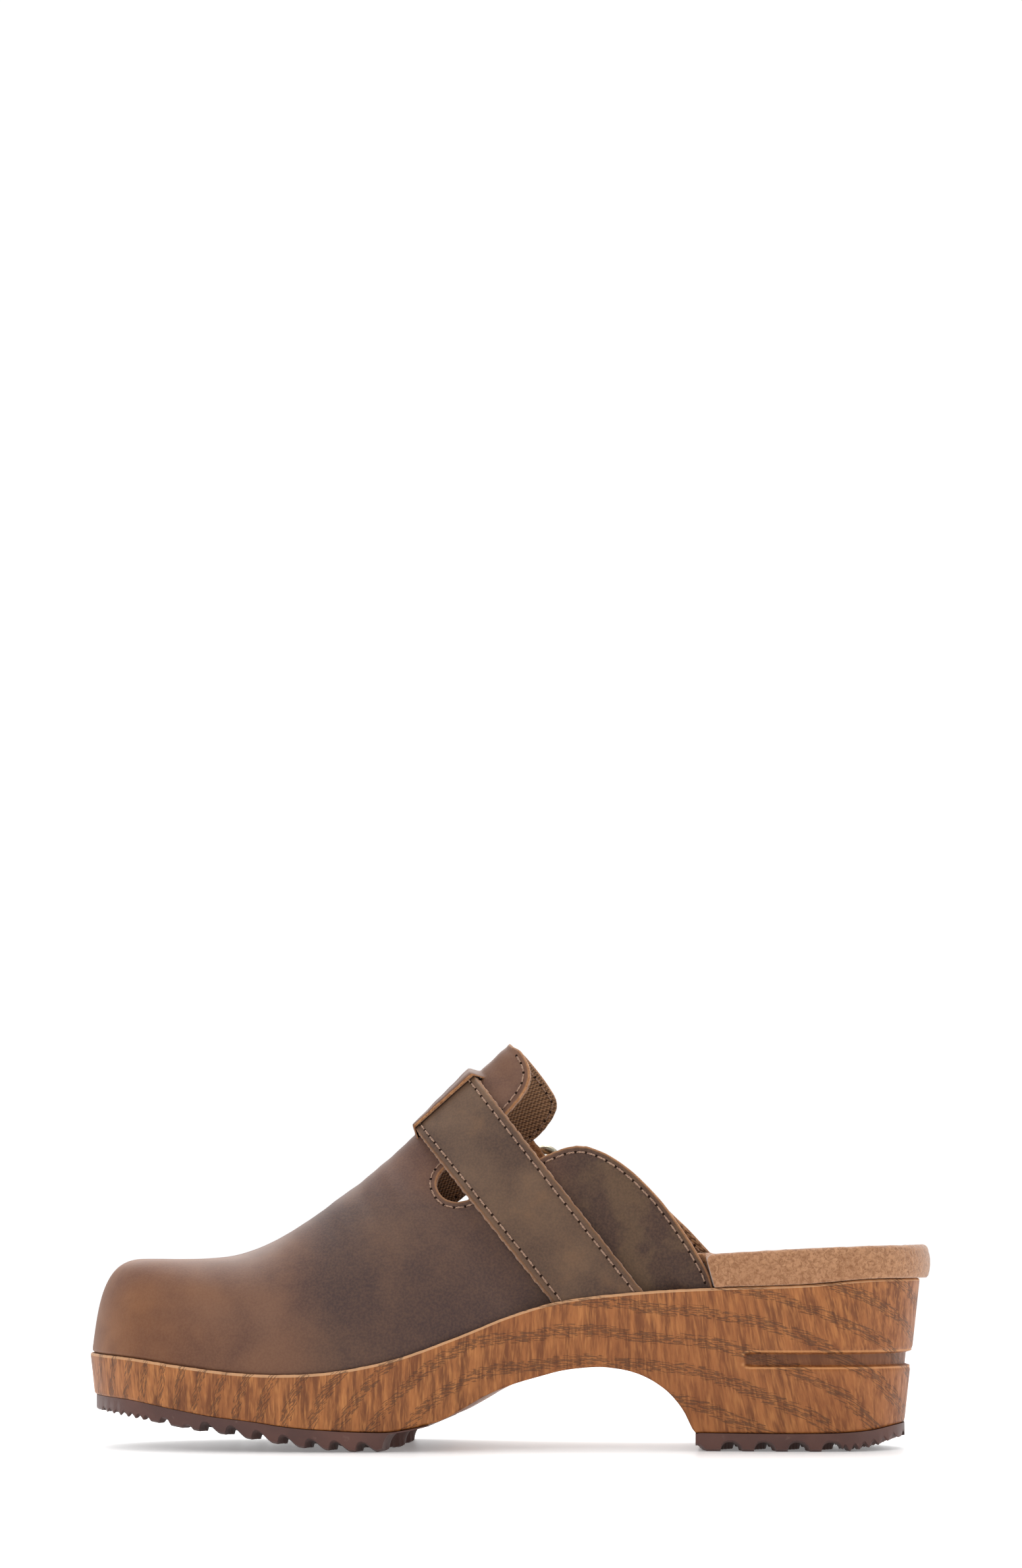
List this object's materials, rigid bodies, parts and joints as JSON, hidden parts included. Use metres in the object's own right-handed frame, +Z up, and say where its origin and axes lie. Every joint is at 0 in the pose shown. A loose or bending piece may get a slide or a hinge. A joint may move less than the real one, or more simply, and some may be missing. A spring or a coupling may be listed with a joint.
{
  "type": "wooden clog",
  "caption": "Open-back clog with a wooden sole, rubber treads, padded suede footbed and leather upper held by a buckled instep strap.",
  "frame": {"origin": "middle of the bounding box in plan, on the ground that the shoe stands on", "axes": "+X from toe to heel, +Y from the inner to the outer side of the right foot, +Z up"},
  "size_m": [0.2544, 0.093, 0.1212],
  "materials": {
    "sole_wood": "oiled oak",
    "tread_rubber": "matte",
    "insole_fibre": "pressed fibre board",
    "footbed_cork": "moulded cork",
    "footbed_foam": "open-cell foam",
    "suede": "suede",
    "nubuck": "oiled nubuck",
    "leather_flesh": "raw flesh side",
    "lining_canvas": "woven canvas",
    "stiffener": "bonded felt",
    "thread": "waxed thread",
    "buckle_metal": "antique nickel plate on brass"
  },
  "bodies": {
    "clog": {"wooden_sole": "sole_wood", "forefoot_tread": "tread_rubber", "heel_tread": "tread_rubber", "insole_board": "insole_fibre", "footbed_base": "footbed_cork", "footbed_foam": "footbed_foam", "footbed_cover": "suede", "upper_leather": "nubuck", "upper_lining": "lining_canvas", "toe_puff": "stiffener", "topline_stitching_inner": "thread", "topline_stitching_outer": "thread", "instep_strap": "nubuck", "instep_strap_backing": "leather_flesh", "strap_stitching_front_inner": "thread", "strap_stitching_rear_inner": "thread", "strap_stitching_front_outer": "thread", "strap_stitching_rear_outer": "thread", "buckle_chape": "nubuck", "chape_stitching": "thread"},
    "buckle": {"buckle_frame": "buckle_metal", "buckle_bar": "buckle_metal"},
    "prong": {"buckle_prong": "buckle_metal"},
    "tail": {"strap_tail": "nubuck"}
  },
  "joints": [
    {"name": "buckle_tilt", "type": "hinge", "parent": "clog", "child": "buckle", "pos_m": [0.0115, 0.03219, 0.06687], "axis": [-0.7883, 0.2194, -0.5749], "range_deg": [0, 25]},
    {"name": "prong_swing", "type": "hinge", "parent": "buckle", "child": "prong", "pos_m": [0.0115, 0.03219, 0.06687], "axis": [-0.7883, 0.2194, -0.5749], "range_deg": [0, 32]},
    {"name": "tail_lift", "type": "hinge", "parent": "clog", "child": "tail", "pos_m": [0.01367, 0.03721, 0.06581], "axis": [0.7883, -0.2194, 0.5749], "range_deg": [0, 75]}
  ]
}
